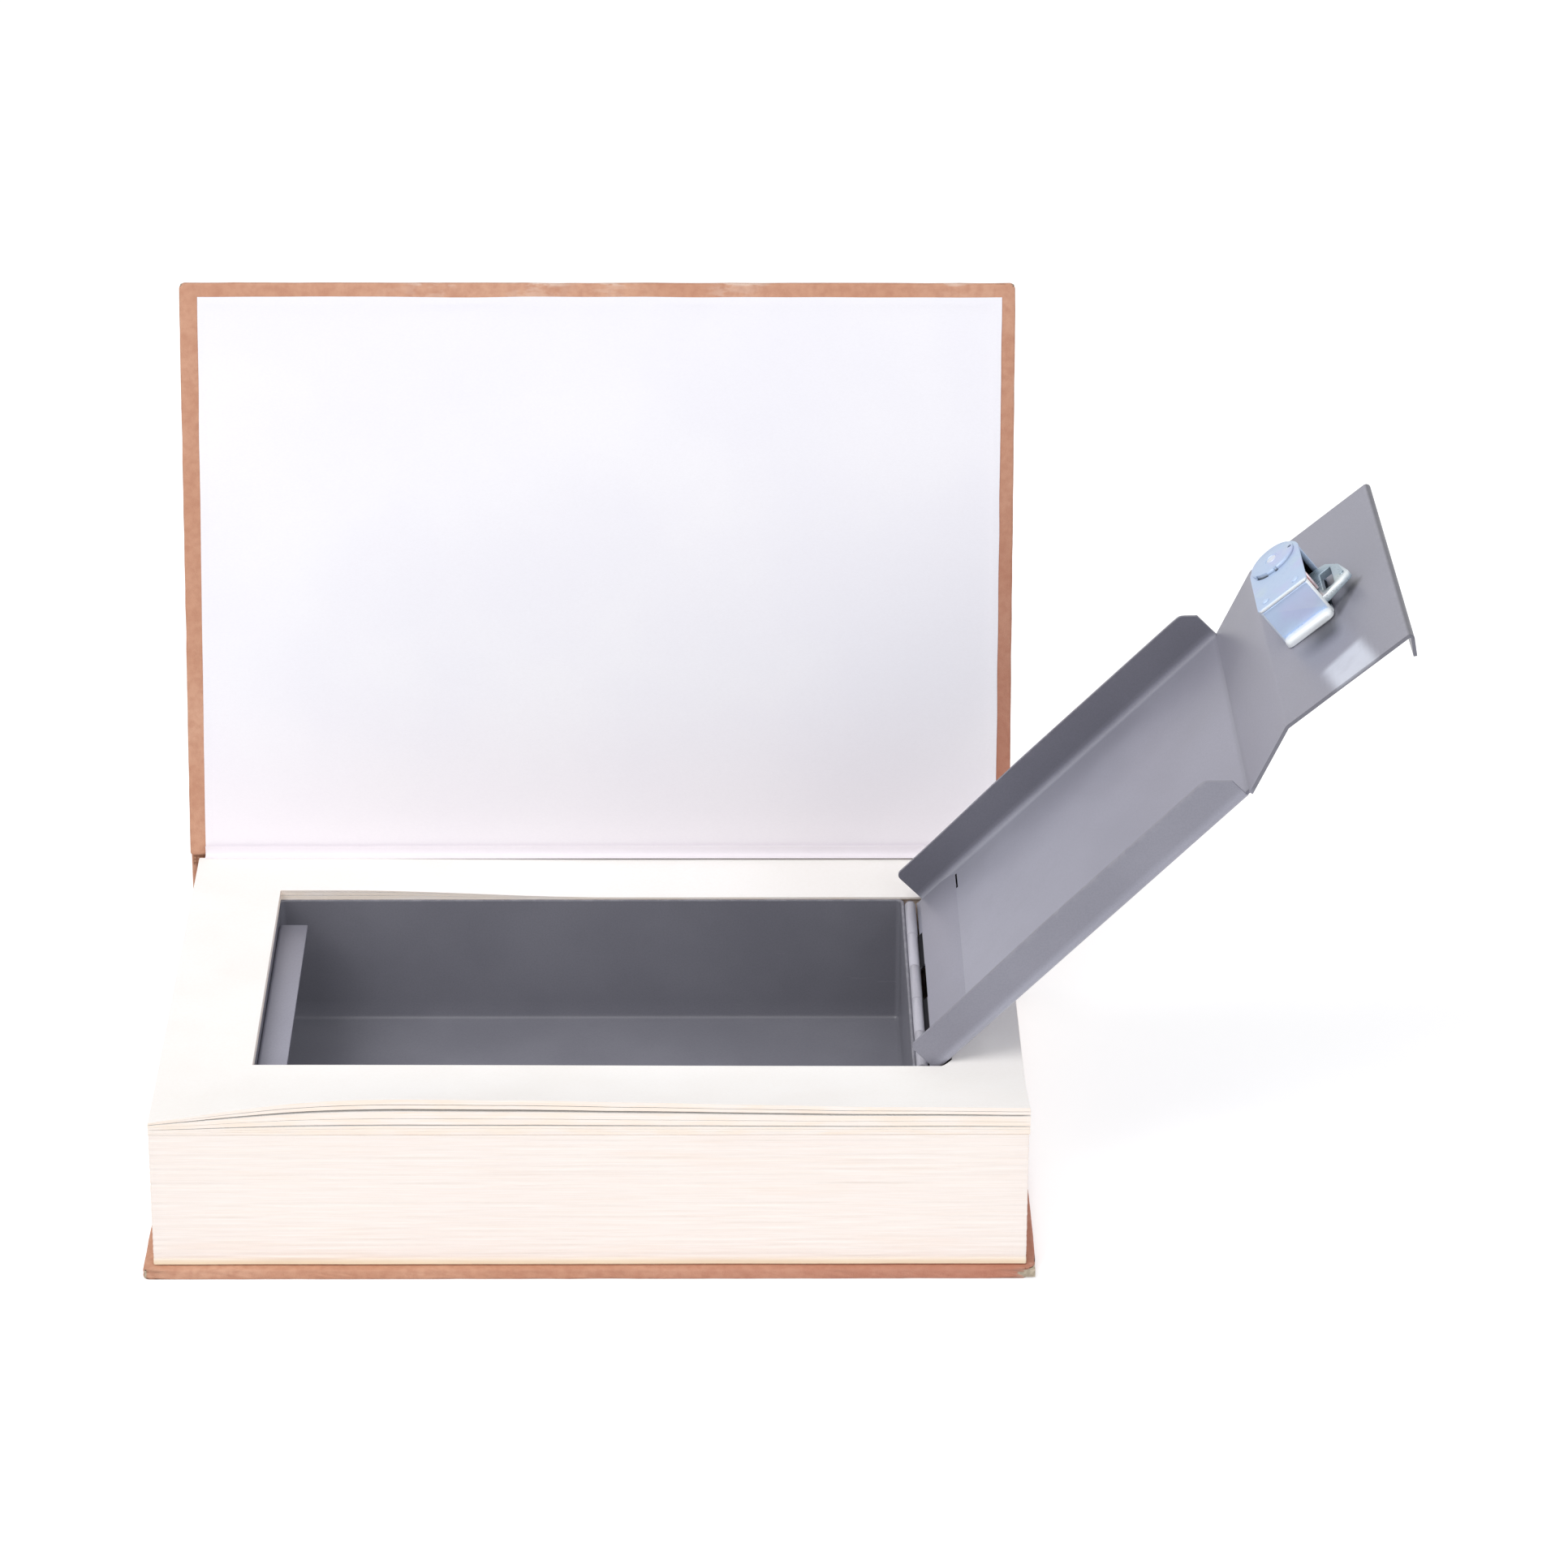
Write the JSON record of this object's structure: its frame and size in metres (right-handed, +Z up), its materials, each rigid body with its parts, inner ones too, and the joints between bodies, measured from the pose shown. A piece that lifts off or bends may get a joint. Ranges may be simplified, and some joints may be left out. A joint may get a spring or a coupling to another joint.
{
  "type": "book safe",
  "caption": "Book-shaped diversion safe: hinged hard cover over a hollowed paper block that holds a steel box with a hinged, key-locked lid.",
  "frame": {"origin": "centre of the back cover's underside, on which the closed or open book lies", "axes": "+X along the length of the book towards the lid's hinge, +Y from the fore-edge towards the spine, +Z up"},
  "size_m": [0.3382, 0.2101, 0.21],
  "materials": {
    "board_core": "raw grey board",
    "covering": "tan imitation leather paper, satin",
    "endpaper": "plain white endpaper, matt",
    "joint_cloth": "woven joint cloth",
    "band": "corded headband",
    "leaves": "cream paper leaves, matt",
    "box_paint": "grey powder coat on steel sheet",
    "lid_paint": "grey powder coat on steel sheet, satin",
    "hinge_paint": "grey powder coat on steel, satin",
    "pin_steel": "bright steel",
    "lock_zinc": "bright zinc-plated die casting",
    "lock_brass": "plain brass"
  },
  "bodies": {
    "book": {"back_board": "board_core", "case_covering": "covering", "back_endpaper": "endpaper", "spine_board": "board_core", "front_joint_cloth": "joint_cloth", "spine_lining": "joint_cloth", "head_band": "band", "tail_band": "band", "page_block": "leaves", "leaves_lower": "leaves", "leaves_middle": "leaves", "leaves_upper": "leaves", "box_shell": "box_paint", "strike_ledge": "box_paint", "box_hinge_leaf": "hinge_paint", "hinge_pin": "pin_steel"},
    "front_cover": {"front_board": "board_core", "front_covering": "covering", "front_endpaper": "endpaper"},
    "lid": {"lid_panel": "lid_paint", "lid_hinge_leaf": "hinge_paint", "lock_case": "lock_zinc", "lock_cap": "lock_zinc", "cap_rivet_near": "pin_steel", "cap_rivet_far": "pin_steel", "lock_bezel": "lock_zinc", "bolt_guide": "lock_brass", "spindle_spring": "pin_steel"},
    "plug": {"lock_plug": "lock_brass", "lock_crank": "pin_steel"},
    "bolt": {"lock_bolt": "lock_zinc"}
  },
  "joints": [
    {"name": "cover_hinge", "type": "hinge", "parent": "book", "child": "front_cover", "pos_m": [0, 0.08106, 0.044], "axis": [1, 0, 0], "range_deg": [0, 35]},
    {"name": "lid_hinge", "type": "hinge", "parent": "book", "child": "lid", "pos_m": [0.09, 0.004, 0.042], "axis": [0, -1, 0], "range_deg": [0, 134.8]},
    {"name": "key_turn", "type": "hinge", "parent": "lid", "child": "plug", "pos_m": [0.19532, 0.018, 0.15445], "axis": [-0.6452, 0, 0.764], "range_deg": [0, 90]},
    {"name": "bolt_throw", "type": "slide", "parent": "lid", "child": "bolt", "axis": [0.764, 0, 0.6452], "range_m": [0, 0.007]}
  ],
  "couplings": [
    {"joint": "key_turn", "follows": "bolt_throw", "rad_per_m": 224.39}
  ]
}
